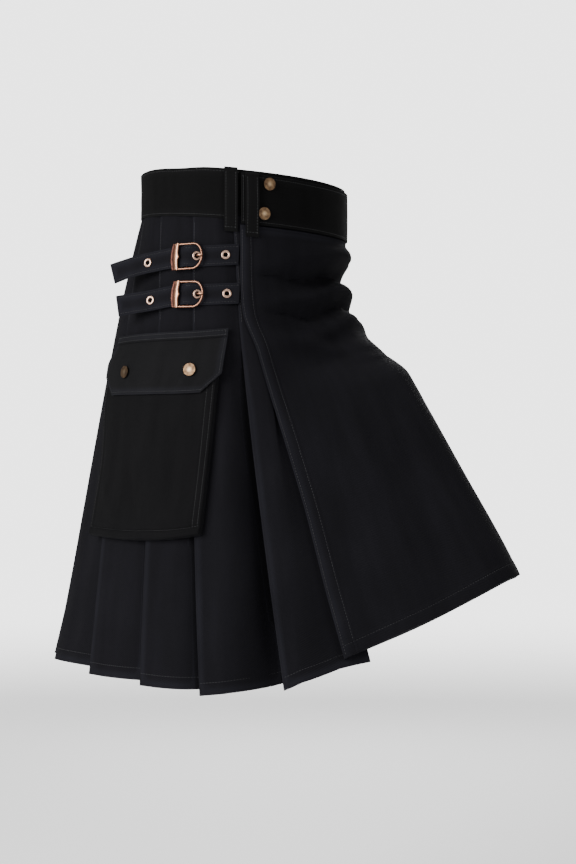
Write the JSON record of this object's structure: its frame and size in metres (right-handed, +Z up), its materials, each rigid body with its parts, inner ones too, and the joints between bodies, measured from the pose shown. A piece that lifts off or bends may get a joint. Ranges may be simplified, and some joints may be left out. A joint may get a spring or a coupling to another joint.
{
  "type": "utility kilt",
  "caption": "Black drill utility kilt, worn and hollow with one thigh forward, knife pleats, lapped front apron, buckled hip straps, cargo pockets and a snapped waistband.",
  "frame": {"origin": "middle of the waist, halfway up the waistband, where the wearer holds the kilt up", "axes": "+Z up, -Y to the front of the kilt, -X to the wearer's right hip"},
  "size_m": [0.4892, 0.5994, 0.6269],
  "materials": {
    "drill": "black cotton drill, matt, fine diagonal weave",
    "band": "black cotton drill, doubled and interfaced, matt",
    "brass": "antique brass snap caps, satin",
    "copper": "copper-toned brass buckles and eyelets, worn satin"
  },
  "bodies": {
    "root": {"pleated_skirt": "drill", "apron": "drill", "under_apron": "drill", "waistband": "band", "belt_loop_right_back": "band", "belt_loop_right_front": "band", "belt_loop_left_back": "band", "belt_loop_left_front": "band", "belt_loop_back_right": "band", "belt_loop_back_left": "band", "pocket_right": "drill", "pocket_left": "drill", "flap_right": "drill", "flap_left": "drill", "strap_right_upper": "drill", "strap_right_lower": "drill", "strap_left_upper": "drill", "strap_left_lower": "drill", "buckle_tab_right_upper": "drill", "buckle_tab_right_lower": "drill", "buckle_tab_left_upper": "drill", "buckle_tab_left_lower": "drill", "buckle_frame_right_upper": "copper", "buckle_frame_right_lower": "copper", "buckle_frame_left_upper": "copper", "buckle_frame_left_lower": "copper", "buckle_prong_right_upper": "copper", "buckle_prong_right_lower": "copper", "buckle_prong_left_upper": "copper", "buckle_prong_left_lower": "copper", "eyelet_right_upper_front": "copper", "eyelet_right_upper_middle": "copper", "eyelet_right_upper_back": "copper", "eyelet_right_lower_front": "copper", "eyelet_right_lower_middle": "copper", "eyelet_right_lower_back": "copper", "eyelet_left_upper_front": "copper", "eyelet_left_upper_middle": "copper", "eyelet_left_upper_back": "copper", "eyelet_left_lower_front": "copper", "eyelet_left_lower_middle": "copper", "eyelet_left_lower_back": "copper", "snap_flap_right_front": "brass", "snap_flap_right_back": "brass", "snap_flap_left_front": "brass", "snap_flap_left_back": "brass", "snap_band_right_upper": "brass", "snap_band_right_lower": "brass", "snap_band_left_upper": "brass", "snap_band_left_lower": "brass"}
  },
  "joints": []
}
